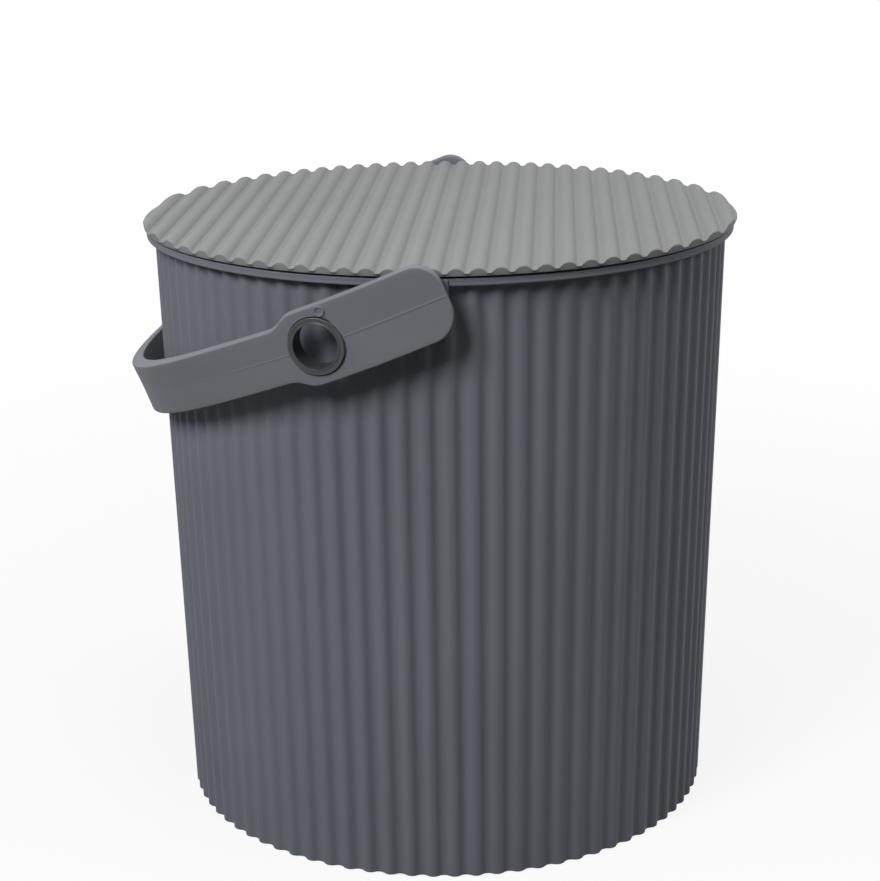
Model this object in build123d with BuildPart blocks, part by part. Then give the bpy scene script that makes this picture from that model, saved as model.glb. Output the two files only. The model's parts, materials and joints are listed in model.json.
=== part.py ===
"""Ribbed plastic bucket with a lift-off lid and a swinging strap handle.

Millimetres, +Z up. The origin is the middle of the ring that the bucket stands on. The lid's ridges and
the handle's pivots run along Y, and the handle hangs down on the -X side with its bow against the wall.
"""

import os
from math import acos, asin, atan2, cos, degrees, hypot, radians, sin, sqrt, tan

from build123d import *

# Bucket body
rib_count = 80
rib_depth = 1.8  # from crest to valley
foot_crest_r = 123.2  # over the rib crests, at the foot
wall_draft = 1.438  # degrees that the wall leans outwards
wall_t = 2.0
floor_t = 2.6
foot_recess = 4.0  # hollow under the floor
foot_ring_w = 4.7  # ring that the bucket stands on, from the crests inwards
body_h = 270.3
rim_h = 3.2
rim_overhang = 3.6  # of the rim past the rib crests
rim_edge_r = 0.9
mouth_ledge = 0.7  # of the smooth mouth inside the ribs' valleys

# Ears that carry the handle
ear_half_w = 10.4
ear_proud = 0.5  # of the ear's flat face past the rim
ear_edge_r = 0.8
pivot_drop = 9.0  # of the pivots below the rim's top

# Lid
ridge_pitch = 8.94
ridge_depth = 2.0
lid_overhang = 1.5  # of the lid past the rim
lid_lip_h = 1.4  # of the lid's edge, in the valleys between the ridges
lid_lip_gap = 1.0  # between the lid's edge and the rim's top
lid_t = 2.2
seat_inset = 3.5  # of the land that rests on the rim, from the rim's edge
lid_ring_t = 2.0
lid_ring_depth = 9.0
lid_ring_clearance = 0.8  # to the mouth, on the radius

# Handle: a flat strap bent to a bow, with a peg at each end
strap_t = 6.3
strap_wide = 32.0  # by the pivots
grip_wide = 23.0
strap_swing_gap = 1.2  # between the strap and the lid's edge
strap_heel = 10.8  # of the strap behind the pivot
arm_straight = 10.0  # from the pivot to the start of the bow
neck_start = 50.0  # where the strap starts to narrow
neck_run = 14.0
camber_start = 70.0  # where the bow starts to dip
camber_drop = 6.5  # dip of the bow at its far end
heel_corner_r = 11.0
strap_edge_r = 1.0
bow_rest_gap = 0.5  # between the hanging bow and the rib crests

# Pegs in the ears' sockets
peg_r = 4.5
peg_clearance = 0.06  # on the radius
peg_reach = 4.4  # into the ear
peg_end_gap = 0.4
peg_tip_chamfer = 0.6

# Eyelets in the handle
eyelet_s = 46.0  # from the pivot, along the strap
eyelet_bore_r = 9.7
eyelet_tube_t = 1.5
eyelet_flange_r = 12.4
eyelet_proud = 1.0  # of the flange past the strap
eyelet_edge_r = 0.4
eyelet_gap = 0.1  # to the strap, all round
snap_lip_w = 0.7  # of the lip that holds the eyelet, behind the strap
snap_lip_h = 1.2

tiny = 1e-4  # for telling whether two lengths are the same

# Heights and radii that follow
slope = tan(radians(wall_draft))
rim_under_z = body_h - rim_h
rim_middle_z = body_h - rim_h / 2
floor_top_z = foot_recess + floor_t
pivot_z = body_h - pivot_drop


def mean_rib_r(z):
    """Radius halfway between the rib crests and valleys, at the height z."""
    return foot_crest_r - rib_depth / 2 + slope * z


rim_crest_r = mean_rib_r(rim_under_z) + rib_depth / 2
rim_r = rim_crest_r + rim_overhang
mouth_r = rim_crest_r - rib_depth - wall_t - mouth_ledge
foot_inner_r = foot_crest_r - foot_ring_w
ear_face_y = rim_r + ear_proud
ear_root_y = mean_rib_r(pivot_z) - wall_t

lid_r = rim_r + lid_overhang
lid_under_z = body_h + lid_lip_gap
lid_valley_z = lid_under_z + lid_lip_h
seat_r = rim_r - seat_inset
lid_ring_r = mouth_r - lid_ring_clearance
lid_hollow_r = lid_ring_r - lid_ring_t
lid_ring_z = body_h - lid_ring_depth

bow_inner_r = lid_r + strap_swing_gap
bow_r = bow_inner_r + strap_t
bow_reach = arm_straight + bow_r
past_heel = -2 * strap_heel
wide_half = strap_wide / 2
grip_half = grip_wide / 2
socket_r = peg_r + peg_clearance
peg_tip_y = ear_face_y - peg_reach
socket_floor_y = peg_tip_y - peg_end_gap


def camber(s):
    """Dip of the bow at the distance s from the pivots: a parabola that starts level at camber_start."""
    return camber_drop * ((s - camber_start) / (bow_reach - camber_start)) ** 2


def rest_droop():
    """Degrees below level at which the bow's lower inner edge comes to rest by the rib crests."""
    reach = arm_straight + bow_inner_r
    drop = grip_half + camber_drop
    level, upright = reach + slope * drop, slope * reach - drop
    stop = foot_crest_r + slope * pivot_z + bow_rest_gap
    return degrees(atan2(upright, level) + acos(stop / hypot(level, upright)))


droop = radians(rest_droop())
strap_out = (-cos(droop), 0, -sin(droop))
strap_up = (-sin(droop), 0, cos(droop))
pivot_point = (0, 0, pivot_z)
strap_plan = Plane(origin=pivot_point, x_dir=strap_out, z_dir=strap_up)
strap_side = Plane(origin=pivot_point, x_dir=strap_out, z_dir=(0, 1, 0))

eyelet_turn = asin((eyelet_s - arm_straight) / bow_r)
eyelet_tube_r = eyelet_bore_r + eyelet_tube_t
strap_hole_r = eyelet_tube_r + eyelet_gap
flange_seat_r = eyelet_flange_r + eyelet_gap
snap_lip_r = strap_hole_r + snap_lip_w


def bow_sag(radius, half_chord):
    """How far a circle of the given radius falls away from its tangent at half_chord."""
    return radius - sqrt(radius**2 - half_chord**2)


flange_seat_depth = bow_sag(bow_r, flange_seat_r)
lip_seat_depth = bow_sag(bow_inner_r, snap_lip_r) + eyelet_gap


def eyelet_plane(side):
    """Plane that touches the strap's outer face at an eyelet's centre, on the +Y or -Y arm."""
    along = arm_straight + bow_r * sin(eyelet_turn)
    across = bow_r * cos(eyelet_turn)
    centre = strap_plan.from_local_coords(Vector(along, -side * across, 0))
    outwards = Vector(*strap_out) * sin(eyelet_turn) + Vector(0, side, 0) * cos(eyelet_turn)
    return Plane(origin=centre, x_dir=strap_up, z_dir=outwards)


def peg_plane(side, y):
    """Plane square to the pivots at the distance y from the middle, facing outwards."""
    return Plane(origin=(0, side * y, pivot_z), x_dir=(-side, 0, 0), z_dir=(0, side, 0))


def polar(radius, angle):
    """Point at an angle in degrees."""
    return radius * cos(radians(angle)), radius * sin(radians(angle))


def rib_ring(mean_r, z):
    """Level face inside a closed ring of ribs, each a crest arc and a valley arc."""
    step = 180 / rib_count
    crest, valley = mean_r + rib_depth / 2, mean_r - rib_depth / 2
    with BuildLine() as rib:
        ThreePointArc(polar(mean_r, -step / 2), polar(crest, 0), polar(mean_r, step / 2))
        ThreePointArc(polar(mean_r, step / 2), polar(valley, step), polar(mean_r, 1.5 * step))
    with BuildSketch(Plane.XY.offset(z)) as ring:
        with BuildLine():
            with PolarLocations(0, rib_count):
                add(rib.line)
        make_face()
    return ring.sketch.face()


def ridge_face(valley_z, base_z, half_w):
    """Upright face between a row of ridges, with a valley at x = 0, and a level line at base_z."""
    quarter = ridge_pitch / 4
    crest_z, mean_z = valley_z + ridge_depth, valley_z + ridge_depth / 2
    count = 2 * int(half_w / ridge_pitch) + 3
    low_end, high_end = -quarter - (count // 2) * ridge_pitch, 3 * quarter + (count // 2) * ridge_pitch
    with BuildLine() as ridge:
        ThreePointArc((-quarter, mean_z), (0, valley_z), (quarter, mean_z))
        ThreePointArc((quarter, mean_z), (2 * quarter, crest_z), (3 * quarter, mean_z))
    with BuildSketch(Plane.XZ) as ridges:
        with BuildLine():
            with GridLocations(ridge_pitch, 0, count, 1):
                add(ridge.line)
            Polyline((high_end, mean_z), (high_end, base_z), (low_end, base_z), (low_end, mean_z))
        make_face()
    return ridges.sketch.face()


def strap_edge(side):
    """Upper or lower edge of the strap seen from the side: wide, then the neck, then the cambered grip."""
    neck_end, neck_middle = neck_start + neck_run, neck_start + neck_run / 2
    wide, grip = side * wide_half, side * grip_half
    tail = bow_reach + strap_t
    Line((-strap_heel, wide), (neck_start, wide))
    Bezier((neck_start, wide), (neck_middle, wide), (neck_middle, grip), (neck_end, grip))
    Line((neck_end, grip), (camber_start, grip))
    Bezier((camber_start, grip), ((camber_start + tail) / 2, grip), (tail, grip - camber(tail)))
    return (-strap_heel, wide), (tail, grip - camber(tail))


# Space inside the bucket: ribbed like the wall's outside, with a smooth mouth, and the recess under the floor
with BuildPart() as body_hollow:
    loft([rib_ring(mean_rib_r(z) - wall_t, z) for z in (floor_top_z, rim_under_z)], ruled=True)
    with BuildSketch(Plane.XY.offset(pivot_z)):
        Circle(mouth_r)
    extrude(amount=pivot_drop + rim_h)
    with BuildSketch(Plane.XY.offset(-rim_h)):
        Circle(foot_inner_r)
    extrude(amount=foot_recess + rim_h)

# Bucket body: ribbed wall, floor, rim and two ears with blind sockets, in one moulding
with BuildPart() as bucket_body:
    loft([rib_ring(mean_rib_r(z), z) for z in (0, rim_middle_z)], ruled=True)
    for side in (-1, 1):
        with BuildSketch(peg_plane(side, ear_root_y)):
            with BuildLine():
                ear_top = ((ear_half_w, pivot_drop), (-ear_half_w, pivot_drop))
                Polyline((ear_half_w, 0), *ear_top, (-ear_half_w, 0))
                ThreePointArc((-ear_half_w, 0), (0, -ear_half_w), (ear_half_w, 0))
            make_face()
        extrude(amount=ear_face_y - ear_root_y, clean=False)
    ear_edges = bucket_body.edges().filter_by(lambda e: abs(abs(e.center().Y) - ear_face_y) < tiny)
    fillet(ear_edges, ear_edge_r)

    with BuildSketch(Plane.XZ) as rim_section:
        with Locations((0, rim_under_z)):
            Rectangle(rim_r, rim_h, align=(Align.MIN, Align.MIN))
        fillet(rim_section.vertices().group_by(Axis.X)[-1], rim_edge_r)
    revolve(axis=Axis.Z, clean=False)

    for side in (-1, 1):
        with BuildSketch(peg_plane(side, socket_floor_y)):
            Circle(socket_r)
        extrude(amount=ear_face_y - socket_floor_y, mode=Mode.SUBTRACT, clean=False)

    add(body_hollow.part, mode=Mode.SUBTRACT)
    mouth_edges = bucket_body.edges().filter_by(GeomType.CIRCLE)
    mouth_edges = mouth_edges.filter_by(lambda e: abs(e.radius - mouth_r) < tiny)
    fillet(mouth_edges.sort_by(Axis.Z)[-1], rim_edge_r)

# Hollow under the lid: ridged above, so that the lid is as thick everywhere, and round inside its ring
with BuildPart() as lid_hollow:
    extrude(ridge_face(lid_valley_z - lid_t, lid_ring_z, lid_hollow_r), lid_hollow_r, both=True)
    with BuildSketch(Plane.XY.offset(lid_ring_z)):
        Circle(lid_hollow_r)
    extrude(amount=2 * lid_ring_depth, mode=Mode.INTERSECT)

# Lid: ridged plate with an overhanging edge, a land that rests on the rim and a ring inside the mouth
with BuildPart() as lid:
    extrude(ridge_face(lid_valley_z, lid_under_z, lid_r), lid_r, both=True)
    with BuildSketch(Plane.XY.offset(lid_under_z)):
        Circle(lid_r)
    extrude(amount=lid_lip_h + ridge_depth, mode=Mode.INTERSECT)
    with BuildSketch(Plane.XY.offset(body_h)):
        Circle(seat_r)
    extrude(amount=lid_lip_gap)
    with BuildSketch(Plane.XY.offset(lid_ring_z)):
        Circle(lid_ring_r)
    extrude(amount=lid_ring_depth)
    add(lid_hollow.part, mode=Mode.SUBTRACT)

# Handle: the strap's side outline cut to its bow in plan, with a peg inside each end
with BuildPart() as handle:
    with BuildSketch(strap_side) as strap_outline:
        with BuildLine():
            top_heel, top_tail = strap_edge(1)
            low_heel, low_tail = strap_edge(-1)
            Line(top_heel, low_heel)
            Line(top_tail, low_tail)
        make_face()
        fillet(strap_outline.vertices().group_by(Axis.X)[0], heel_corner_r)
    extrude(amount=bow_reach, both=True)
    with BuildSketch(strap_plan.offset(-bow_reach)):
        with BuildLine():
            for radius in (bow_r, bow_inner_r):
                Line((past_heel, radius), (arm_straight, radius))
                ThreePointArc((arm_straight, radius), (arm_straight + radius, 0), (arm_straight, -radius))
                Line((arm_straight, -radius), (past_heel, -radius))
            for side in (-1, 1):
                Line((past_heel, side * bow_inner_r), (past_heel, side * bow_r))
        make_face()
    extrude(amount=2 * bow_reach, mode=Mode.INTERSECT)
    fillet(handle.edges(), strap_edge_r)

    for side in (-1, 1):
        with BuildSketch(peg_plane(side, peg_tip_y)):
            Circle(peg_r)
        extrude(amount=bow_inner_r - peg_tip_y + strap_t / 2)
        with BuildSketch(eyelet_plane(side)):
            Circle(strap_hole_r)
        extrude(amount=2 * strap_t, both=True, mode=Mode.SUBTRACT)
        with BuildSketch(eyelet_plane(side).offset(-flange_seat_depth)):
            Circle(flange_seat_r)
        extrude(amount=strap_t, mode=Mode.SUBTRACT)
    peg_tips = handle.edges().filter_by(lambda e: abs(abs(e.center().Y) - peg_tip_y) < tiny)
    chamfer(peg_tips, peg_tip_chamfer)


def make_eyelet(side):
    """Eyelet on one arm: flange on the strap's outside, tube through it and a snap lip behind it."""
    seat = eyelet_plane(side)
    section = Plane(origin=seat.origin, x_dir=seat.x_dir, z_dir=seat.x_dir.cross(seat.z_dir))
    flange_low = -flange_seat_depth
    lip_top = -strap_t - lip_seat_depth
    lip_low = lip_top - snap_lip_h
    with BuildPart() as eyelet:
        with BuildSketch(section):
            with BuildLine():
                Polyline(
                    (eyelet_bore_r, lip_low),
                    (eyelet_tube_r, lip_low),
                    (snap_lip_r, lip_top),
                    (eyelet_tube_r, lip_top),
                    (eyelet_tube_r, flange_low),
                    (eyelet_flange_r, flange_low),
                    (eyelet_flange_r, eyelet_proud),
                    (eyelet_bore_r, eyelet_proud),
                    close=True,
                )
            make_face()
        revolve(axis=Axis(seat.origin, seat.z_dir))
        face_edges = eyelet.edges().filter_by(GeomType.CIRCLE).group_by(Axis(seat.origin, seat.z_dir))[-1]
        fillet(face_edges, eyelet_edge_r)
    return eyelet


eyelet_front = make_eyelet(-1)
eyelet_rear = make_eyelet(1)

bucket_body.part.label = "bucket_body"
lid.part.label = "lid"
handle.part.label = "handle"
eyelet_front.part.label = "eyelet_front"
eyelet_rear.part.label = "eyelet_rear"

os.makedirs("parts", exist_ok=True)
export_step(bucket_body.part, "parts/bucket_body.step")
export_step(lid.part, "parts/lid.step")
export_step(handle.part, "parts/handle.step")
export_step(eyelet_front.part, "parts/eyelet_front.step")
export_step(eyelet_rear.part, "parts/eyelet_rear.step")
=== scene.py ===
"""Looks of a ribbed plastic bucket with a ridged lid, a strap handle and two eyelets.

Metres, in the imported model's frame: +Z up, the pivots and the lid's ridges along Y, the bow on the -X side.
Each piece is a closed surface worked out as whole arrays of points, in place of its plain CAD solid. A sheet
is a grid of points, and a profile is a list of rows of (across, up, share of a wave).
"""

import json
from math import asin, atan2, cos, pi, radians, sin, sqrt, tan

import bmesh
import bpy
import numpy as np
from bpy.props import FloatProperty, FloatVectorProperty, IntProperty, PointerProperty
from mathutils import Matrix, Vector


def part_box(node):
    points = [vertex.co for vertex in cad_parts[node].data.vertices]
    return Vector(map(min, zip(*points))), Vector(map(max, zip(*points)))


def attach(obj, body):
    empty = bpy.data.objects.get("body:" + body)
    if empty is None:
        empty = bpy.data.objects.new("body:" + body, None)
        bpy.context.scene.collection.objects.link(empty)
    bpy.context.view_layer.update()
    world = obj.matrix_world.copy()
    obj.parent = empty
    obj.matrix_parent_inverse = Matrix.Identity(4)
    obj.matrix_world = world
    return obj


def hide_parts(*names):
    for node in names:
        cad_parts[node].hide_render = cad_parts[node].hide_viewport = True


bl_info = {
    "name": "Ribbed bucket",
    "version": (1, 0, 0),
    "blender": (4, 5, 0),
    "location": "View3D > Sidebar > Bucket",
    "description": "Dresses the packed bucket: tub, lid, handle, eyelets and a studio",
    "category": "Object",
}

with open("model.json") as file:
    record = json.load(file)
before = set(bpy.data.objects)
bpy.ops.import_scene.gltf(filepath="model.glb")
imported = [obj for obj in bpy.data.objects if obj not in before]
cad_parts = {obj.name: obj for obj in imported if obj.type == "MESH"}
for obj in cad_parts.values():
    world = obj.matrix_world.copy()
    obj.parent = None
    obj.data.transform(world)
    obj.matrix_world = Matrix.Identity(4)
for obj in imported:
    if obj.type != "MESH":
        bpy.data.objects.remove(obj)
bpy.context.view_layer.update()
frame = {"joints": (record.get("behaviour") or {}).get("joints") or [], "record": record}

MM = 0.001
PIVOT_Z = frame["joints"][0]["pos_m"][2]
BODY_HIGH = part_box("bucket_body")[1]
LID_LOW, LID_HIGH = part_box("lid")
BOW_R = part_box("handle")[1].y
EYELET_AXIS = [m["axis"] for m in frame["record"]["mounts"] if m["name"] == "eyelet_bore_rear"][0]

# Angle of the hanging handle below level, and of an eyelet's axis from the pivots' line
DROOP = atan2(-EYELET_AXIS[2], -EYELET_AXIS[0])
EYELET_TURN = asin(sqrt(EYELET_AXIS[0] ** 2 + EYELET_AXIS[2] ** 2))

# Outward lean of the tub's wall for each unit of height
WALL_LEAN = tan(radians(1.438))

# Columns across one rib, and from one side of the lid to the other
RIB_SAMPLES = 12
LID_COLUMNS = 861

# Camera as solved from the outlines in the photograph: place, then tilt, turn and roll in degrees
CAMERA_PLACE = (0.052822, -0.940663, 0.445847)
CAMERA_TILT, CAMERA_TURN, CAMERA_ROLL = 73.307, 3.3, -0.791


def length(label, text, value):
    """A size in metres, given in millimetres."""
    return FloatProperty(
        name=label,
        description=text,
        default=value * MM,
        min=0.0,
        unit="LENGTH",
        subtype="DISTANCE",
        precision=5,
    )


def colour(label, text, value):
    """A colour in linear light."""
    return FloatVectorProperty(
        name=label, description=text, default=value, min=0.0, max=1.0, size=3, subtype="COLOR"
    )


def share(label, text, value, top=1.0):
    """A plain number from 0 to top."""
    return FloatProperty(name=label, description=text, default=value, min=0.0, max=top, subtype="FACTOR")


def power(label, text, value):
    """Power of a lamp in watts."""
    return FloatProperty(name=label, description=text, default=value, min=0.0, unit="POWER")


class BUCKET_PG_body(bpy.types.PropertyGroup):
    """Sizes of the tub"""

    rib_count: IntProperty(name="Ribs", description="Ribs round the wall", default=80, min=12)
    rib_depth: length("Rib depth", "From a rib's crest to its valley", 1.8)
    foot_crest_r: length("Foot radius", "Over the rib crests, at the foot", 123.2)
    wall_t: length("Wall", "Thickness of the wall", 2.0)
    floor_t: length("Floor", "Thickness of the floor", 2.6)
    foot_recess: length("Recess", "Hollow under the floor", 4.0)
    foot_ring_w: length("Foot ring", "Width of the ring that the tub stands on", 4.7)
    rim_h: length("Rim height", "Height of the smooth rim", 3.2)
    rim_overhang: length("Rim overhang", "Of the rim past the rib crests", 3.6)
    rim_edge_r: length("Rim rounding", "Rounding of the rim's edges", 0.5)
    rim_groove: length("Rim groove", "Depth of the shallow groove round the rim's face", 0.12)
    mouth_ledge: length("Mouth ledge", "Of the mouth inside the ribs' valleys", 0.7)
    ear_half_w: length("Ear half width", "Half the width of an ear", 10.4)
    ear_proud: length("Ear proud", "Of an ear's face past the rim", 0.5)
    ear_edge_r: length("Ear rounding", "Rounding of an ear's edge", 0.45)
    socket_r: length("Socket radius", "Of the blind socket for the peg", 4.56)
    socket_floor: length("Socket floor", "Distance of the socket's floor from the middle", 129.2)


class BUCKET_PG_lid(bpy.types.PropertyGroup):
    """Sizes of the lid"""

    ridge_pitch: length("Ridge pitch", "From one ridge to the next", 8.94)
    ridge_depth: length("Ridge depth", "From a ridge's crest to its valley", 2.0)
    edge_r: length("Edge rounding", "Rounding of the wavy edge", 0.4)
    edge_lean: length("Edge lean", "Of the edge's foot inside its top", 0.5)
    lip_h: length("Edge height", "Of the lid's edge in the valleys", 1.4)
    lip_gap: length("Edge gap", "Between the lid's edge and the rim", 1.0)
    plate_t: length("Plate", "Thickness of the ridged plate", 2.2)
    seat_r: length("Seat radius", "Of the land that rests on the rim", 130.005)
    ring_r: length("Ring radius", "Of the ring inside the mouth", 124.605)
    ring_t: length("Ring", "Thickness of the ring", 2.0)


class BUCKET_PG_handle(bpy.types.PropertyGroup):
    """Sizes of the strap handle"""

    strap_t: length("Thickness", "Of the strap", 6.3)
    wide: length("Arm width", "Of the strap by the pivots", 32.0)
    grip: length("Grip width", "Of the strap round the bow", 23.0)
    heel: length("Heel", "Of the strap behind the pivot", 10.8)
    heel_corner_r: length("Heel rounding", "Of the strap's end corners", 11.0)
    arm_straight: length("Straight arm", "From the pivot to the start of the bow", 10.0)
    neck_start: length("Neck start", "Where the strap starts to narrow", 50.0)
    neck_run: length("Neck run", "Length of the narrowing", 14.0)
    camber_start: length("Dip start", "Where the bow starts to dip", 70.0)
    camber_drop: length("Dip", "Of the bow at its far end", 6.5)
    edge_r: length("Edge rounding", "Of all the strap's edges", 0.6)
    draft: length("Dish", "Depth of the outer face's shallow V along the parting line", 0.35)
    seam: length("Parting ridge", "Height of the fine ridge on the parting line", 0.14)
    peg_r: length("Peg radius", "Of the pegs in the ears", 4.5)
    peg_tip: length("Peg tip", "Distance of a peg's tip from the middle", 129.6)
    hole_r: length("Hole radius", "Of the hole for an eyelet", 11.3)
    seat_r: length("Seat radius", "Of the seat for an eyelet's flange", 12.5)


class BUCKET_PG_eyelet(bpy.types.PropertyGroup):
    """Sizes of the eyelets"""

    bore_r: length("Bore radius", "Of the hole through the eyelet", 9.7)
    tube_t: length("Tube", "Thickness of the tube", 1.5)
    flange_r: length("Flange radius", "Of the ring on the outside", 12.15)
    proud: length("Proud", "Of the ring past the strap", 1.0)
    bead_w: length("Bead width", "Of the bead round the bore", 0.6)
    face_drop: length("Face drop", "Of the ring's face below the bead", 0.35)
    lip_r: length("Lip radius", "Of the lip behind the strap", 12.0)
    lip_h: length("Lip height", "Of the lip behind the strap", 1.2)


class BUCKET_PG_finish(bpy.types.PropertyGroup):
    """Colours and sheen of the plastics"""

    body: colour("Body", "Dark bluish grey of the tub", (0.19, 0.197, 0.232))
    lid: colour("Lid", "Grey of the lid", (0.26, 0.263, 0.265))
    handle: colour("Handle", "Grey of the strap", (0.205, 0.21, 0.236))
    # The eyelets' very dark grey is partly their own darker plastic and partly painted shade, so the bore and
    # the ring's face look as dark as the shade in them
    eyelet: colour("Eyelets", "Dark grey of the eyelets", (0.05, 0.052, 0.058))
    roughness: share("Roughness", "Of the satin plastics", 0.56)
    gloss: share("Gloss", "Specular level of the satin plastics", 0.1)
    eyelet_roughness: share("Eyelet roughness", "Of the smoother eyelets", 0.3)
    eyelet_gloss: share("Eyelet gloss", "Specular level of the eyelets", 0.5)


class BUCKET_PG_stage(bpy.types.PropertyGroup):
    """Floor, lights and lens of the studio"""

    floor: colour("Floor", "Colour of the floor", (0.12, 0.12, 0.12))
    glow: share("Floor glow", "White that the camera sees on top of the floor's colour", 0.86)
    world: share("World light", "Strength of the light from all round", 0.025, 5.0)
    top_light: power("Top light", "Overhead", 20.0)
    left_light: power("Left light", "From the far left", 5.0)
    key_light: power("Key light", "From the upper left front", 11.0)
    right_light: power("Right light", "Soft, from the right", 9.0)
    lens: FloatProperty(name="Lens", description="Focal length", default=84.94, unit="CAMERA")


class BUCKET_PG_settings(bpy.types.PropertyGroup):
    """All that a user would change"""

    body: PointerProperty(type=BUCKET_PG_body)
    lid: PointerProperty(type=BUCKET_PG_lid)
    handle: PointerProperty(type=BUCKET_PG_handle)
    eyelet: PointerProperty(type=BUCKET_PG_eyelet)
    finish: PointerProperty(type=BUCKET_PG_finish)
    stage: PointerProperty(type=BUCKET_PG_stage)


def make_piece(name, sheets, material, body, nodes):
    """Joins grids of points into one smooth closed mesh that rides on a body and stands for CAD nodes.

    Each grid gives a face between every two rows and columns. Grids meet where their points are the same, and
    a row of equal points is a pole: points nearer than a micrometre become one, and faces without area go.
    """
    corners, quads, start = [], [], 0
    for sheet in sheets:
        rows, columns = sheet.shape[:2]
        index = start + np.arange(rows * columns).reshape(rows, columns)
        start += rows * columns
        corners.append(sheet.reshape(-1, 3))
        around = (index[:-1, :-1], index[:-1, 1:], index[1:, 1:], index[1:, :-1])
        quads.append(np.stack(around, axis=-1).reshape(-1, 4))
    mesh = bpy.data.meshes.new(name)
    mesh.from_pydata(np.concatenate(corners).tolist(), [], np.concatenate(quads).tolist())
    joined = bmesh.new()
    joined.from_mesh(mesh)
    bmesh.ops.remove_doubles(joined, verts=joined.verts, dist=1e-6)
    bmesh.ops.recalc_face_normals(joined, faces=joined.faces)
    open_edges = sum(len(edge.link_faces) != 2 for edge in joined.edges)
    if open_edges:
        raise RuntimeError(f"{name} has {open_edges} open edges")
    joined.to_mesh(mesh)
    joined.free()
    mesh.polygons.foreach_set("use_smooth", np.ones(len(mesh.polygons), bool))
    mesh.materials.append(material)
    piece = bpy.data.objects.new(name, mesh)
    bpy.context.scene.collection.objects.link(piece)
    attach(piece, body)
    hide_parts(*nodes)


def rounded(corners, steps=6, hold=0.25 * MM):
    """Profile along straight runs between corners, with an arc at each corner.

    A corner is (across, up, share, radius). Its arc touches the runs at radius / tan(half the angle) from the
    corner, and swings between the two touching points about a centre on the angle's halving line. A row just
    outside each arc keeps the shading of the straight runs flat.
    """
    rows = [np.array(corners[0][:3])]
    for before, corner, after in zip(corners, corners[1:], corners[2:]):
        point = np.array(corner[:3])
        back, ahead = np.array(before[:3]) - point, np.array(after[:3]) - point
        back_run, ahead_run = np.linalg.norm(back[:2]), np.linalg.norm(ahead[:2])
        back, ahead = back / back_run, ahead / ahead_run
        angle = np.arccos(np.clip(back[:2] @ ahead[:2], -1, 1))
        if corner[3] == 0 or pi - angle < 1e-4:
            rows.append(point)
            continue
        reach = corner[3] / tan(angle / 2)
        halving = (back + ahead)[:2] / np.linalg.norm((back + ahead)[:2])
        centre = point[:2] + halving * corner[3] / sin(angle / 2)
        first, last = point[:2] + back[:2] * reach - centre, point[:2] + ahead[:2] * reach - centre
        swing, turn = np.linspace(0, 1, steps + 1)[:, None], pi - angle
        arc = centre + (np.sin((1 - swing) * turn) * first + np.sin(swing * turn) * last) / sin(turn)
        if back_run - reach > 3 * hold:
            rows.append(point + back * (reach + hold))
        rows.extend(np.column_stack([arc, np.full(steps + 1, point[2])]))
        if ahead_run - reach > 3 * hold:
            rows.append(point + ahead * (reach + hold))
    rows.append(np.array(corners[-1][:3]))
    return np.array(rows)


def more_rows(rows, longest):
    """The same profile, with runs longer than the given length divided evenly."""
    filled = [rows[:1]]
    for low, high in zip(rows, rows[1:]):
        count = max(1, int(np.ceil(np.linalg.norm((high - low)[:2]) / longest)))
        filled.append(low + (high - low) * np.linspace(0, 1, count + 1)[1:, None])
    return np.concatenate(filled)


def arc_wave(along, pitch, depth):
    """Height of a wave made of crest arcs and valley arcs, with a crest at 0.

    Each arc spans half the pitch and rises half the depth from its chord, so its radius is
    (quarter pitch squared + rise squared) / (2 rise), and its height is that of its circle over the chord.
    """
    quarter, rise = pitch / 4, depth / 2
    radius = (quarter**2 + rise**2) / (2 * rise)
    turn = np.mod(along / pitch + 0.25, 1.0)
    crest = turn < 0.5
    offset = np.where(crest, turn - 0.25, turn - 0.75) * pitch
    bulge = np.sqrt(radius**2 - offset**2) - (radius - rise)
    return np.where(crest, bulge, -bulge)


def hump_wave(along, pitch, depth, hump=0.8, fullness=2.4):
    """Height of a row of full humps between narrow level valleys, with a crest at 0.

    A hump is as wide as the pitch times hump. Its height above its foot is the depth times (1 - the share of
    the way from crest to foot, to the power of the fullness). Its foot lies half the depth below the mean.
    """
    off_crest = np.abs(np.mod(along / pitch + 0.5, 1.0) - 0.5)
    return depth * (0.5 - np.minimum(off_crest / (hump / 2), 1.0) ** fullness)


def rib_wave(size, turn):
    """Offset of the ribbed wall from its mean radius at an angle, with a crest at 0."""
    pitch = 2 * pi / size.rib_count * size.foot_crest_r
    return arc_wave(turn * size.foot_crest_r, pitch, size.rib_depth)


def around_axis(rows, columns=128, wave=None):
    """Sheet of a profile turned about Z. Each row's share of the wave at an angle adds to its radius."""
    turn = np.linspace(0, 2 * pi, columns + 1)
    radius = rows[:, 0:1] + (0 if wave is None else rows[:, 2:3] * wave(turn)[None, :])
    height = np.broadcast_to(rows[:, 1:2], radius.shape) + 0 * turn
    return np.stack([radius * np.cos(turn), radius * np.sin(turn), height], axis=-1)


def placed(sheet, origin, right, up, out):
    """Sheet with its X, Y and Z laid along three directions from an origin."""
    return np.array(origin) + sheet @ np.array([right, up, out], float)


class Wire:
    """A shader socket on which +, - and * each add a Math node, from either side."""

    def __init__(self, paint, socket):
        self.paint, self.socket = paint, socket

    def sums(self, operation, first, second):
        return self.paint.node("ShaderNodeMath", {"operation": operation}, {0: first, 1: second})

    def __add__(self, other):
        return self.sums("ADD", self, other)

    def __radd__(self, other):
        return self.sums("ADD", other, self)

    def __sub__(self, other):
        return self.sums("SUBTRACT", self, other)

    def __rsub__(self, other):
        return self.sums("SUBTRACT", other, self)

    def __mul__(self, other):
        return self.sums("MULTIPLY", self, other)

    def __rmul__(self, other):
        return self.sums("MULTIPLY", other, self)


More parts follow.
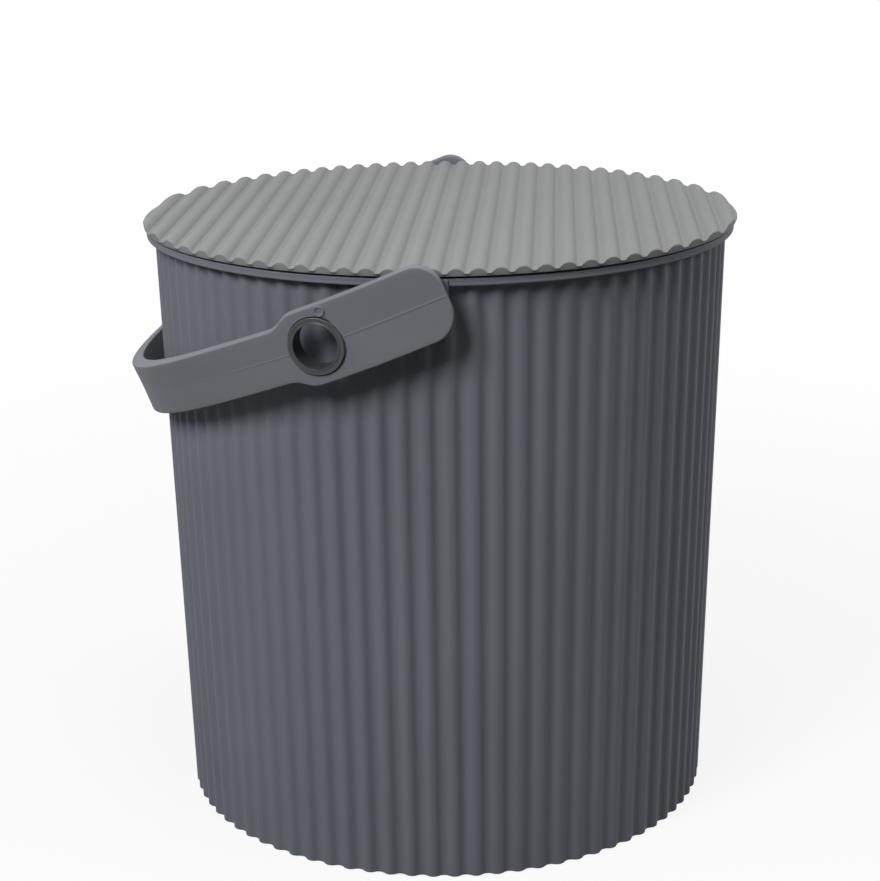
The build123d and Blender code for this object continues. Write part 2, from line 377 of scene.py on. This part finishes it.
class Paint:
    """The nodes of one material or of the world."""

    def __init__(self, owner):
        owner.use_nodes = True
        self.tree = owner.node_tree
        self.tree.nodes.clear()

    def node(self, kind, settings=None, values=None, out=0):
        """Adds a node with its settings, then its sockets' values or links, and returns one output."""
        made = self.tree.nodes.new(kind)
        for key, value in (settings or {}).items():
            setattr(made, key, value)
        for key, value in (values or {}).items():
            if isinstance(value, Wire):
                self.tree.links.new(value.socket, made.inputs[key])
            else:
                made.inputs[key].default_value = value
        return Wire(self, made.outputs[out]) if made.outputs else made

    def noise(self, where, scale, detail=2.0, rough=0.5):
        """Cloudy noise from 0 to 1, with about scale spots per metre."""
        values = {"Vector": where, "Scale": scale, "Detail": detail, "Roughness": rough}
        return self.node("ShaderNodeTexNoise", None, values)

    def stretched(self, where, scales):
        """Coordinates multiplied by a number on each axis."""
        return self.node("ShaderNodeMapping", None, {"Vector": where, "Scale": scales})

    def mixed(self, factor, first, second):
        """Colour between two colours. The node's colour sockets share their names, so they go by number."""
        values = {0: factor, 6: first, 7: second}
        return self.node("ShaderNodeMix", {"data_type": "RGBA"}, values, out=2)


def moulded_plastic(name, tone, roughness, gloss, streaks=(30.0, 30.0, 5.0), grain=0.12):
    """Satin moulded plastic: flow streaks and clouds a few percent lighter or darker, a fine moulded grain in
    the bump, and a roughness that drifts with the clouds and the grain. The pattern lies in the piece's own
    coordinates, with the given number of streaks per metre on each axis.
    """
    material = bpy.data.materials.new(name)
    paint = Paint(material)
    cloud_scale, speck_scale, fine_scale, coarse_scale = 14.0, 900.0, 1600.0, 420.0
    darker, lighter = 0.9, 1.1
    where = paint.node("ShaderNodeTexCoord", out="Object")
    clouds = paint.noise(where, cloud_scale, 3.0)
    flow = paint.noise(paint.stretched(where, streaks), 1.0, 2.0, 0.6)
    specks = paint.noise(where, speck_scale, 1.0)
    tint = (clouds - 0.5) * 0.9 + (flow - 0.5) * 0.7 + (specks - 0.5) * 0.25 + 0.5
    dark = tuple(darker * c for c in tone) + (1.0,)
    light = tuple(lighter * c for c in tone) + (1.0,)
    fine = paint.noise(where, fine_scale, 2.0, 0.55)
    coarse = paint.noise(where, coarse_scale, 2.0)
    height = fine * 0.7 + coarse * 0.3
    relief = {"Strength": grain, "Distance": 0.12 * MM, "Height": height}
    bump = paint.node("ShaderNodeBump", None, relief)
    surface = paint.node(
        "ShaderNodeBsdfPrincipled",
        None,
        {
            "Base Color": paint.mixed(tint, dark, light),
            "Roughness": roughness + (clouds - 0.5) * 0.08 + (fine - 0.5) * 0.06,
            "Normal": bump,
            "IOR": 1.47,
            "Specular IOR Level": gloss,
        },
    )
    paint.node("ShaderNodeOutputMaterial", None, {"Surface": surface})
    return material


def mean_radius(size, height):
    """Radius of the ribbed wall's outside, half way between crests and valleys."""
    return size.foot_crest_r - size.rib_depth / 2 + WALL_LEAN * height


def rim_radius(size):
    """Radius of the rim's outside."""
    return mean_radius(size, BODY_HIGH.z - size.rim_h) + size.rib_depth / 2 + size.rim_overhang


def wall_profile(size):
    """Profile from the middle of the floor's top, up inside the wall, over the rim, down outside and in under
    the floor. The share is that of the ribs.
    """
    top = BODY_HIGH.z
    under = top - size.rim_h
    floor_top = size.foot_recess + size.floor_t
    rim_r, foot_r, below_r = rim_radius(size), mean_radius(size, 0), mean_radius(size, under)
    mouth_r = below_r - size.rib_depth / 2 - size.wall_t - size.mouth_ledge
    foot_in, floor_flat_r = size.foot_crest_r - size.foot_ring_w, 0.9 * foot_r
    mouth_bevel, rim_band = 0.1 * MM, 0.7 * MM
    floor_round, foot_round, ring_round = 1.2 * MM, 0.6 * MM, 0.4 * MM
    groove_round, band_round, lip_round, neck_round = 0.5 * MM, 0.3 * MM, 0.55 * MM, 0.5 * MM
    corners = [
        (0.0, floor_top, 0.0, 0.0),
        (floor_flat_r, floor_top, 0.0, 0.0),
        (mean_radius(size, floor_top) - size.wall_t, floor_top, 1.0, floor_round),
        (below_r - size.wall_t, under, 1.0, 0.0),
        (mouth_r + mouth_bevel, under, 0.0, 0.0),
        (mouth_r, under + mouth_bevel, 0.0, 0.0),
        (mouth_r, top, 0.0, size.rim_edge_r),
        (rim_r, top, 0.0, size.rim_edge_r),
        (rim_r - size.rim_groove, top - 0.5 * size.rim_h, 0.0, groove_round),
        (rim_r, under + rim_band, 0.0, band_round),
        (rim_r, under, 0.0, lip_round),
        (below_r, under, 1.0, neck_round),
        (foot_r, 0.0, 1.0, foot_round),
        (foot_in, 0.0, 0.0, ring_round),
        (foot_in, size.foot_recess, 0.0, foot_round),
        (0.0, size.foot_recess, 0.0, 0.0),
    ]
    return more_rows(rounded(corners, 4), 30 * MM)


def ear_outline(size, inset):
    """Outline of an ear round its pivot, drawn in by an inset: a half circle below and straight above."""
    clear_of_rim, corner_r, least_r = 0.03 * MM, 0.7 * MM, 0.05 * MM
    half = size.ear_half_w - inset
    high = BODY_HIGH.z - PIVOT_Z - clear_of_rim - inset
    corner_r = max(corner_r - inset, least_r)
    corners = [(half, 0, 0, 0), (half, high, 0, corner_r), (-half, high, 0, corner_r), (-half, 0, 0, 0)]
    arc_steps = 5
    over = rounded(corners, arc_steps, 0.0)[:, :2]
    # The straight run at the top lies between the two corners' arcs
    split = arc_steps + 2
    top_run = np.linspace(over[split - 1], over[split], 25)[1:-1]
    turn = np.linspace(pi, 2 * pi, 49)[:-1]
    under = half * np.column_stack([np.cos(turn), np.sin(turn)])
    return np.concatenate([under, over[:split], top_run, over[split:]])


def ear_sheet(size, side):
    """Sheet of one ear.

    Rows run from the middle of the wall's thickness out to the ear's face, over its rounded edge, in to the
    socket's mouth, and down to the socket's floor. Each row is an outline at a distance from the tub's axis.
    """
    hold, mouth = 0.3 * MM, 0.25 * MM
    rim = ear_outline(size, 0.0)
    towards = rim / np.linalg.norm(rim, axis=1)[:, None]
    angle = np.arcsin(rim[:, 0] / mean_radius(size, PIVOT_Z))
    wall = mean_radius(size, PIVOT_Z + rim[:, 1]) - size.wall_t / 2 + rib_wave(size, angle)
    root = np.sqrt(wall**2 - rim[:, 0] ** 2)
    face, edge = rim_radius(size) + size.ear_proud, size.ear_edge_r
    middle = mean_radius(size, PIVOT_Z) + (size.rib_depth - size.wall_t) / 2
    rows = [(0 * rim, middle), (rim, root), (rim, face - edge - hold)]
    for turn in np.linspace(0, pi / 2, 7):
        rows.append((ear_outline(size, edge * (1 - cos(turn))), face - edge * (1 - sin(turn))))
    rows.append((ear_outline(size, edge + hold), face))
    rows.append((towards * (size.socket_r + mouth + hold), face))
    for turn in np.linspace(0, pi / 2, 5):
        radius = size.socket_r + mouth * (1 - sin(turn))
        rows.append((towards * radius, face - mouth * (1 - cos(turn))))
    rows.append((towards * size.socket_r, size.socket_floor))
    rows.append((0 * towards, size.socket_floor))
    grid = np.array([np.column_stack([flat[:, 0], 0 * flat[:, 0] + y, flat[:, 1]]) for flat, y in rows])
    grid = np.concatenate([grid, grid[:, :1]], axis=1)
    return grid * (1, side, 1) + (0, 0, PIVOT_Z)


def ridged_disc(radius, mean_z, wave, rows=7):
    """Sheet over a disc, at the wave's height.

    A column stands at the radius times the sine of an angle, in even steps from -90 to 90 degrees, and its
    rows lie at even steps between the disc's edges there.
    """
    turn = np.linspace(-pi / 2, pi / 2, LID_COLUMNS)
    x = np.broadcast_to(radius * np.sin(turn), (rows, LID_COLUMNS))
    y = np.linspace(-1, 1, rows)[:, None] * radius * np.cos(turn)
    return np.stack([x, y, mean_z + wave(x)], axis=-1)


def lid_sheets(size):
    """Sheets of the lid: the ridged top, its edge carried round the disc with the wave, and the ceiling.

    A valley of the wave lies over the middle of the lid. The edge has a point wherever a disc's column ends.
    """
    radius, rim_top = LID_HIGH.x, BODY_HIGH.z
    under = rim_top + size.lip_gap
    mean_top = under + size.lip_h + size.ridge_depth / 2
    inside_r = size.ring_r - size.ring_t
    inner_r = radius - 2.5 * size.edge_r
    lip_round, seat_round, land_round, ring_round = 0.2 * MM, 0.25 * MM, 0.3 * MM, 0.5 * MM

    def wave(x):
        return hump_wave(x + size.ridge_pitch / 2, size.ridge_pitch, size.ridge_depth)

    corners = [
        (inner_r, mean_top, 1.0, 0.0),
        (radius, mean_top, 1.0, size.edge_r),
        (radius - size.edge_lean, under, 0.0, lip_round),
        (size.seat_r, under, 0.0, lip_round),
        (size.seat_r, rim_top, 0.0, seat_round),
        (size.ring_r, rim_top, 0.0, land_round),
        (size.ring_r, LID_LOW.z, 0.0, ring_round),
        (inside_r, LID_LOW.z, 0.0, ring_round),
        (inside_r, mean_top - size.plate_t, 1.0, 0.0),
    ]
    rows = rounded(corners, 4)
    turn = np.linspace(-pi, pi, 2 * LID_COLUMNS - 1)
    x, y = rows[:, 0:1] * np.cos(turn), rows[:, 0:1] * np.sin(turn)
    edge = np.stack([x, y, rows[:, 1:2] + rows[:, 2:3] * wave(x)], axis=-1)
    ceiling = ridged_disc(inside_r, mean_top - size.plate_t, wave)
    return [ridged_disc(inner_r, mean_top, wave), edge, ceiling]


class Strap:
    """The handle's strap, worked out from a path, an offset across it and a depth below its outer face.

    The path runs along the outer face, from 0 at the far end of the bow to the heels, negative on the front
    arm. It follows a quarter circle to the end of the bow, and from there a straight arm. The reach is the
    distance from the pivots, and the offset falls by the bow's dip, a parabola of the reach.
    """

    def __init__(self, size):
        self.size = size
        self.quarter = BOW_R * pi / 2
        self.out = np.array([-cos(DROOP), 0.0, -sin(DROOP)])
        self.up = np.array([-sin(DROOP), 0.0, cos(DROOP)])
        self.across = np.array([0.0, 1.0, 0.0])
        self.pivot = np.array([0.0, 0.0, PIVOT_Z])
        self.eyelet_path = BOW_R * (pi / 2 - EYELET_TURN)
        # Rows across a face, as shares of the half width, close together by the parting line
        half_rows = np.concatenate([[0.0, 0.012, 0.03], np.linspace(0.07, 1, 8)])
        self.rows = np.concatenate([-half_rows[:0:-1], half_rows])
        self.heel_turn = np.linspace(pi / 2, 0, 13)[:-1]
        # Columns from the front heel, before, over and past the patch that holds the eyelet, and back
        patch = 15.0 * MM
        heel_start = self.path_of_reach(size.heel_corner_r - size.heel)
        stops = (-heel_start, -self.eyelet_path - patch, -self.eyelet_path + patch, 0.0)
        steps = (14, 40, 75)
        spans = [np.linspace(low, high, n + 1)[1:] for low, high, n in zip(stops, stops[1:], steps)]
        half_run = np.concatenate([stops[:1], *spans])
        self.run = np.concatenate([half_run, -half_run[-2::-1]])
        self.patch_start, self.patch_end = steps[0], steps[0] + steps[1]

    def path_of_reach(self, reach):
        """Path on the straight arm at a distance from the pivots."""
        return self.quarter + self.size.arm_straight - reach

    def reach(self, path, deep):
        """Distance from the pivots, along the strap's own level line."""
        turn = np.clip(path / BOW_R, -pi / 2, pi / 2)
        straight = np.maximum(np.abs(path) - self.quarter, 0)
        return self.size.arm_straight + (BOW_R - deep) * np.cos(turn) - straight

    def half_width(self, reach):
        """Half the strap's width: wide, then an S curve of two level ends, then the grip."""
        size = self.size
        t = np.linspace(0, 1, 65)
        along = size.neck_start + size.neck_run * (1.5 * t - 1.5 * t**2 + t**3)
        half = size.wide / 2 - (size.wide - size.grip) / 2 * (3 * t**2 - 2 * t**3)
        return np.interp(reach, along, half)

    def dip(self, reach):
        """Fall of the bow below the level of the arms."""
        size = self.size
        far = size.arm_straight + BOW_R - size.camber_start
        return size.camber_drop * (np.maximum(reach - size.camber_start, 0) / far) ** 2

    def fall(self, offset, path):
        """Depth of the outer face: a shallow V, deepest along the parting line, with a fine ridge on it.

        The V's depth is the dish times (1 - the offset's share of half the widest width). The ridge is a
        triangle across, and past the eyelet it fades to a part of its height.
        """
        size = self.size
        ridge_half_w, fade_start, fade_run, faded = 0.3 * MM, 40 * MM, 70 * MM, 0.8
        valley = size.draft * np.maximum(1 - np.abs(offset) / (size.wide / 2), 0)
        along = np.clip((self.reach(path, 0.0) - fade_start) / fade_run, 0, 1)
        ridge = np.maximum(1 - np.abs(offset) / ridge_half_w, 0)
        return valley - size.seam * (1 - faded * along) * ridge

    def point(self, path, offset, deep):
        """Places in space of path, offset and depth."""
        path, offset, deep = np.broadcast_arrays(path, offset, deep)
        reach = self.reach(path, deep)
        sideways = (BOW_R - deep) * np.sin(np.clip(path / BOW_R, -pi / 2, pi / 2))
        rise = offset - self.dip(reach)
        spans = ((reach, self.out), (sideways, self.across), (rise, self.up))
        return self.pivot + sum(span[..., None] * way for span, way in spans)

    def edge_line(self, inset, deep):
        """Path and half width along the strap's edge, drawn in by an inset: heel corner, run, heel corner."""
        size = self.size
        corner = size.heel_corner_r - inset
        reach = size.heel_corner_r - size.heel - corner * np.sin(self.heel_turn)
        heel_path = self.path_of_reach(reach)
        heel_half = size.wide / 2 - size.heel_corner_r + corner * np.cos(self.heel_turn)
        run_half = self.half_width(self.reach(self.run, deep)) - inset
        path = np.concatenate([-heel_path, self.run, heel_path[::-1]])
        return path, np.concatenate([heel_half, run_half, heel_half[::-1]])

    def loop(self, inset, deep):
        """Path and offset once round the strap's outline, drawn in by an inset."""
        path, half = self.edge_line(inset, deep)
        rear = (np.full(len(self.rows), path[-1]), -self.rows * half[-1])
        front = (np.full(len(self.rows), path[0]), self.rows * half[0])
        paths = np.concatenate([path, rear[0][1:], path[::-1][1:], front[0][1:]])
        offsets = np.concatenate([half, rear[1][1:], -half[::-1][1:], front[1][1:]])
        return paths, offsets

    def face_depth(self, offset, path, outer):
        """Depth of the outer or the inner face."""
        return self.fall(offset, path) if outer else self.size.strap_t

    def edge_sheet(self):
        """Sheet round the strap's thickness, with both its edges rounded by a quarter circle."""
        thick, edge, hold = self.size.strap_t, self.size.edge_r, 0.3 * MM
        path, offset = self.loop(edge, 0.0)
        start = self.fall(offset, path)
        turns = np.linspace(0, pi / 2, 7)
        drops = [(edge * (1 - sin(t)), edge * (1 - cos(t)), 1) for t in turns]
        drops += [(0.0, edge + hold, 1), (0.0, thick - edge - hold, 0)]
        drops += [(edge * (1 - cos(t)), thick - edge * (1 - sin(t)), 0) for t in turns]
        rows = [self.point(*self.loop(inset, deep), deep + tilt * start) for inset, deep, tilt in drops]
        return np.array(rows)

    def patch_loop(self, path, half):
        """Path and offset once round the part of a face that holds an eyelet."""
        up, down = self.rows * half[0], self.rows[::-1] * half[-1]
        paths = [np.full(len(up), path[0]), path[1:], np.full(len(down) - 1, path[-1]), path[::-1][1:]]
        return np.concatenate(paths), np.concatenate([up, half[1:], down[1:], -half[::-1][1:]])

    def face_sheets(self, outer):
        """Sheets of one face: grids between the edges, and a ring of rows round each eyelet's hole.

        The rows go straight from the patch's outline to the hole's circle, which is round when seen along the
        hole's own axis. The sheets down the holes come with the outer face.
        """
        size = self.size
        flat = 0.0 if outer else size.strap_t
        path, half = self.edge_line(size.edge_r, flat)
        radius = size.seat_r if outer else size.hole_r
        first = len(self.heel_turn) + self.patch_start
        last = len(self.heel_turn) + self.patch_end
        end = len(path) - 1
        spans = [(0, first), (last, end - last), (end - first, end)]
        ring_steps = (0.0, 0.3, 0.6, 0.85, 0.97, 1.0)
        sheets = []
        for low, high in spans:
            offset = self.rows[:, None] * half[low : high + 1]
            part = path[low : high + 1]
            sheets.append(self.point(part, offset, self.face_depth(offset, part, outer)))
        # Both faces take the angles of the outer face's outline, so that their rings meet the hole's sheet
        outer_half = self.edge_line(size.edge_r, 0.0)[1]
        for low, high, middle in (
            (first, last, -self.eyelet_path),
            (end - last, end - first, self.eyelet_path),
        ):
            loop_path, loop_offset = self.patch_loop(path[low : high + 1], half[low : high + 1])
            outer_path, outer_offset = self.patch_loop(path[low : high + 1], outer_half[low : high + 1])
            angle = np.arctan2(outer_offset, outer_path - middle)
            round_offset = radius * np.sin(angle)
            bend = BOW_R - self.face_depth(round_offset, middle + radius * np.cos(angle), outer)
            round_path = middle + BOW_R * np.arcsin(radius * np.cos(angle) / bend)
            grid = []
            for step in ring_steps:
                ring_path = loop_path + (round_path - loop_path) * step
                ring_offset = loop_offset + (round_offset - loop_offset) * step
                deep = self.face_depth(ring_offset, ring_path, outer) if step < 1 else BOW_R - bend
                grid.append(self.point(ring_path, ring_offset, deep))
            sheets.append(np.array(grid))
            if outer:
                sheets.append(self.hole_sheet(angle, middle))
        return sheets

    def tangent(self, middle):
        """Centre, direction along the path, direction up and outward normal at an eyelet's place."""
        turn = middle / BOW_R
        centre = self.point(middle, 0.0, 0.0)
        along = -sin(turn) * self.out + cos(turn) * self.across
        normal = cos(turn) * self.out + sin(turn) * self.across
        return centre, along, self.up, normal

    def hole_sheet(self, angle, middle):
        """Sheet down one hole: the flange's seat, sunk to the level where its circle leaves the bow, and the
        hole through to the inner face, in the flat frame that touches the bow at the hole's middle.
        """
        size, sunk = self.size, 0.02 * MM
        x, y = np.cos(angle), np.sin(angle)
        seat_x, seat_y, hole_x = size.seat_r * x, size.seat_r * y, size.hole_r * x
        face = BOW_R - np.sqrt((BOW_R - self.fall(seat_y, middle + seat_x)) ** 2 - seat_x**2)
        floor = np.full_like(x, BOW_R - sqrt(BOW_R**2 - size.seat_r**2) + sunk)
        inner = BOW_R - np.sqrt((BOW_R - size.strap_t) ** 2 - hole_x**2)
        rows = ((size.seat_r, face), (size.seat_r, floor), (size.hole_r, floor), (size.hole_r, inner))
        grid = np.array([np.stack([radius * x, radius * y, -deep], axis=-1) for radius, deep in rows])
        return placed(grid, *self.tangent(middle))

    def peg_sheet(self, side):
        """Sheet of a peg: a round bar along the pivots, from inside the strap to its rounded tip."""
        size = self.size
        root, tip_round = BOW_R - size.strap_t / 2, 0.6 * MM
        corners = [
            (0.0, root, 0, 0),
            (size.peg_r, root, 0, 0),
            (size.peg_r, size.peg_tip, 0, tip_round),
            (0.0, size.peg_tip, 0, 0),
        ]
        sheet = around_axis(rounded(corners), 64)
        return placed(sheet, self.pivot, self.out, self.up, side * self.across)

    def mark_sheet(self):
        """Sheet of the small round mark above the front eyelet: a low ring with a sunk middle. Its foot lies
        inside the strap.
        """
        past_bow_start, above_seam = 29.1 * MM, 13.0 * MM
        outer_r, brow_r, middle_r = 2.3 * MM, 1.6 * MM, 1.3 * MM
        high, middle_high, foot = 0.5 * MM, 0.12 * MM, -0.5 * MM
        outer_round, brow_round = 0.2 * MM, 0.15 * MM
        corners = [
            (0.0, middle_high, 0, 0),
            (middle_r, middle_high, 0, outer_round),
            (brow_r, high, 0, brow_round),
            (outer_r, high, 0, outer_round),
            (outer_r, foot, 0, 0),
            (0.0, foot, 0, 0),
        ]
        dome = around_axis(rounded(corners, 4, 0.05 * MM), 40)
        offset = above_seam + dome[..., 1]
        path = past_bow_start - self.quarter + dome[..., 0]
        return self.point(path, offset, self.fall(offset, path) - dome[..., 2])


def eyelet_sheet(size, strap, middle):
    """Sheet of an eyelet: its wall's outline, closed on itself, turned about the hole's own axis.

    The ring sits at the level where its seat's circle leaves the bow, and the lip lies just clear of the
    level where the lip's own circle leaves the inner face.
    """
    seat = BOW_R - sqrt(BOW_R**2 - strap.size.seat_r**2)
    inner_bow_r, clear_of_strap = BOW_R - strap.size.strap_t, 0.1 * MM
    lip_top = sqrt(inner_bow_r**2 - size.lip_r**2) - BOW_R - clear_of_strap
    lip_low = lip_top - size.lip_h
    fine_round, lip_round, foot_round = 0.1 * MM, 0.2 * MM, 0.06 * MM
    flange_round, flange_drop, bore_round, mouth_round = 0.35 * MM, 0.15 * MM, 0.15 * MM, 0.3 * MM
    tube_r = size.bore_r + size.tube_t
    corners = [
        (size.bore_r, lip_low / 2, 0, 0),
        (size.bore_r, lip_low, 0, mouth_round),
        (tube_r, lip_low, 0, lip_round),
        (size.lip_r, lip_top, 0, fine_round),
        (tube_r, lip_top, 0, fine_round),
        (tube_r, -seat, 0, fine_round),
        (size.flange_r, -seat, 0, bore_round),
        (size.flange_r, size.proud - flange_drop, 0, flange_round),
        (size.bore_r + size.bead_w, size.proud - size.face_drop, 0, foot_round),
        (size.bore_r + 0.6 * size.bead_w, size.proud, 0, fine_round),
        (size.bore_r, size.proud, 0, bore_round),
        (size.bore_r, lip_low / 2, 0, 0),
    ]
    sheet = around_axis(rounded(corners, 6, 0.1 * MM), 144)
    return placed(sheet, *strap.tangent(middle))


class BUCKET_OT_body(bpy.types.Operator):
    """Makes the ribbed tub and its two ears"""

    bl_idname = "bucket.body"
    bl_label = "Tub and ears"

    def execute(self, context):
        settings = context.scene.bucket
        size, finish = settings.body, settings.finish
        material = moulded_plastic("body_satin_plastic", finish.body, finish.roughness, finish.gloss)
        columns = size.rib_count * RIB_SAMPLES
        wall = around_axis(wall_profile(size), columns, lambda turn: rib_wave(size, turn))
        pieces = {"tub": wall, "ear_front": ear_sheet(size, -1), "ear_rear": ear_sheet(size, 1)}
        for name, sheet in pieces.items():
            make_piece(name, [sheet], material, "bucket", ["bucket_body"])
        return {"FINISHED"}


class BUCKET_OT_lid(bpy.types.Operator):
    """Makes the ridged lid"""

    bl_idname = "bucket.lid"
    bl_label = "Lid"

    def execute(self, context):
        settings = context.scene.bucket
        finish = settings.finish
        streaks = (40.0, 4.0, 20.0)
        look = (finish.lid, finish.roughness, finish.gloss, streaks)
        material = moulded_plastic("lid_satin_plastic", *look)
        make_piece("ridged_lid", lid_sheets(settings.lid), material, "lid", ["lid"])
        return {"FINISHED"}


class BUCKET_OT_handle(bpy.types.Operator):
    """Makes the strap handle with its pegs"""

    bl_idname = "bucket.handle"
    bl_label = "Handle"

    def execute(self, context):
        settings = context.scene.bucket
        finish = settings.finish
        strap = Strap(settings.handle)
        streaks = (12.0, 12.0, 40.0)
        look = (finish.handle, finish.roughness, finish.gloss, streaks)
        material = moulded_plastic("handle_satin_plastic", *look)
        sheets = [*strap.face_sheets(True), strap.edge_sheet(), *strap.face_sheets(False)]
        sheets += [strap.peg_sheet(-1), strap.peg_sheet(1), strap.mark_sheet()]
        make_piece("strap_handle", sheets, material, "handle", ["handle"])
        return {"FINISHED"}


class BUCKET_OT_eyelets(bpy.types.Operator):
    """Makes both eyelets"""

    bl_idname = "bucket.eyelets"
    bl_label = "Eyelets"

    def execute(self, context):
        settings = context.scene.bucket
        finish = settings.finish
        strap = Strap(settings.handle)
        # The eyelets' colour carries painted shade for the inside of the bore, on top of their own darker
        # grey
        look = (finish.eyelet, finish.eyelet_roughness, finish.eyelet_gloss)
        material = moulded_plastic("eyelet_smooth_plastic", *look, grain=0.05)
        for name, side in (("eyelet_front", -1), ("eyelet_rear", 1)):
            sheet = eyelet_sheet(settings.eyelet, strap, side * strap.eyelet_path)
            make_piece("ring_" + name, [sheet], material, "handle", [name])
        return {"FINISHED"}


def looked_at(paint):
    """1 for rays from the camera, off gloss or through glass, and 0 for the light on the object."""
    rays = ("Is Camera Ray", "Is Glossy Ray", "Is Transmission Ray")
    camera, glossy, through = [paint.node("ShaderNodeLightPath", out=ray) for ray in rays]
    settings = {"operation": "ADD", "use_clamp": True}
    return paint.node("ShaderNodeMath", settings, {0: camera + glossy, 1: through})


class BUCKET_OT_stage(bpy.types.Operator):
    """Makes the floor, the soft studio light and the camera"""

    bl_idname = "bucket.stage"
    bl_label = "Studio"

    def execute(self, context):
        stage = context.scene.bucket.stage
        world = bpy.data.worlds.new("studio_world")
        context.scene.world = world
        paint = Paint(world)
        strength = stage.world + looked_at(paint) * (1.0 - stage.world)
        sky = paint.node("ShaderNodeBackground", None, {"Color": (1, 1, 1, 1), "Strength": strength})
        paint.node("ShaderNodeOutputWorld", None, {"Surface": sky})

        material = bpy.data.materials.new("studio_floor")
        paint = Paint(material)
        where = paint.node("ShaderNodeTexCoord", out="Object")
        away = paint.node("ShaderNodeVectorMath", {"operation": "LENGTH"}, {0: where}, out="Value")
        # The floor's glow grows to full white between these distances from the middle
        near, far = 0.25, 1.5
        rise = {"Value": away, "From Min": near, "From Max": far, "To Min": stage.glow, "To Max": 1.0}
        glow = looked_at(paint) * paint.node("ShaderNodeMapRange", None, rise)
        plain = paint.node("ShaderNodeBsdfDiffuse", None, {"Color": (*stage.floor, 1)})
        glow = paint.node("ShaderNodeEmission", None, {"Color": (1, 1, 1, 1), "Strength": glow})
        both = paint.node("ShaderNodeAddShader", None, {0: plain, 1: glow})
        paint.node("ShaderNodeOutputMaterial", None, {"Surface": both})
        floor_mesh = bpy.data.meshes.new("studio_floor")
        reach, low = 30.0, -0.3 * MM
        corners = [(-reach, -reach, low), (reach, -reach, low), (reach, reach, low), (-reach, reach, low)]
        floor_mesh.from_pydata(corners, [], [(0, 1, 2, 3)])
        floor_mesh.materials.append(material)
        floor = bpy.data.objects.new("studio_floor", floor_mesh)
        context.scene.collection.objects.link(floor)

        # Name, power, width and place of each lamp, which all face the origin
        lamps = (
            ("top_light", stage.top_light, 1.2, (0.05, -0.35, 2.2)),
            ("left_light", stage.left_light, 0.5, (-2.0, -0.36, 1.15)),
            ("key_light", stage.key_light, 0.55, (-0.54, -0.92, 1.03)),
            ("right_light", stage.right_light, 0.9, (1.64, -0.06, 1.1)),
        )
        for name, watts, width, place in lamps:
            light = bpy.data.lights.new(name, "AREA")
            light.energy, light.shape, light.size = watts, "DISK", width
            lamp = bpy.data.objects.new(name, light)
            lamp.location = place
            lamp.rotation_euler = Vector(place).to_track_quat("Z", "Y").to_euler()
            context.scene.collection.objects.link(lamp)

        lens = bpy.data.cameras.new("camera")
        lens.lens, lens.sensor_width, lens.clip_end = stage.lens, 36.0, 200.0
        camera = bpy.data.objects.new("camera", lens)
        view = Matrix.Translation(CAMERA_PLACE)
        for angle, axis in ((CAMERA_TURN, "Z"), (CAMERA_TILT, "X"), (CAMERA_ROLL, "Z")):
            view @= Matrix.Rotation(radians(angle), 4, axis)
        camera.matrix_world = view
        context.scene.collection.objects.link(camera)
        context.scene.camera = camera
        context.scene.view_settings.view_transform = "Standard"
        return {"FINISHED"}


OPERATORS = (BUCKET_OT_body, BUCKET_OT_lid, BUCKET_OT_handle, BUCKET_OT_eyelets, BUCKET_OT_stage)


class BUCKET_PT_panel(bpy.types.Panel):
    """Lists what makes the bucket"""

    bl_label = "Bucket"
    bl_idname = "BUCKET_PT_panel"
    bl_space_type = "VIEW_3D"
    bl_region_type = "UI"
    bl_category = "Bucket"

    def draw(self, context):
        for operator in OPERATORS:
            self.layout.operator(operator.bl_idname)


CLASSES = (
    BUCKET_PG_body,
    BUCKET_PG_lid,
    BUCKET_PG_handle,
    BUCKET_PG_eyelet,
    BUCKET_PG_finish,
    BUCKET_PG_stage,
    BUCKET_PG_settings,
    *OPERATORS,
    BUCKET_PT_panel,
)


def register():
    """Adds the classes and the settings to Blender."""
    for item in CLASSES:
        bpy.utils.register_class(item)
    bpy.types.Scene.bucket = PointerProperty(type=BUCKET_PG_settings)


def unregister():
    """Takes the settings and the classes out of Blender."""
    del bpy.types.Scene.bucket
    for item in reversed(CLASSES):
        bpy.utils.unregister_class(item)


def main():
    register()
    bpy.ops.bucket.body()
    bpy.ops.bucket.lid()
    bpy.ops.bucket.handle()
    bpy.ops.bucket.eyelets()
    bpy.ops.bucket.stage()
    bpy.context.view_layer.update()


if __name__ == "__main__":
    main()
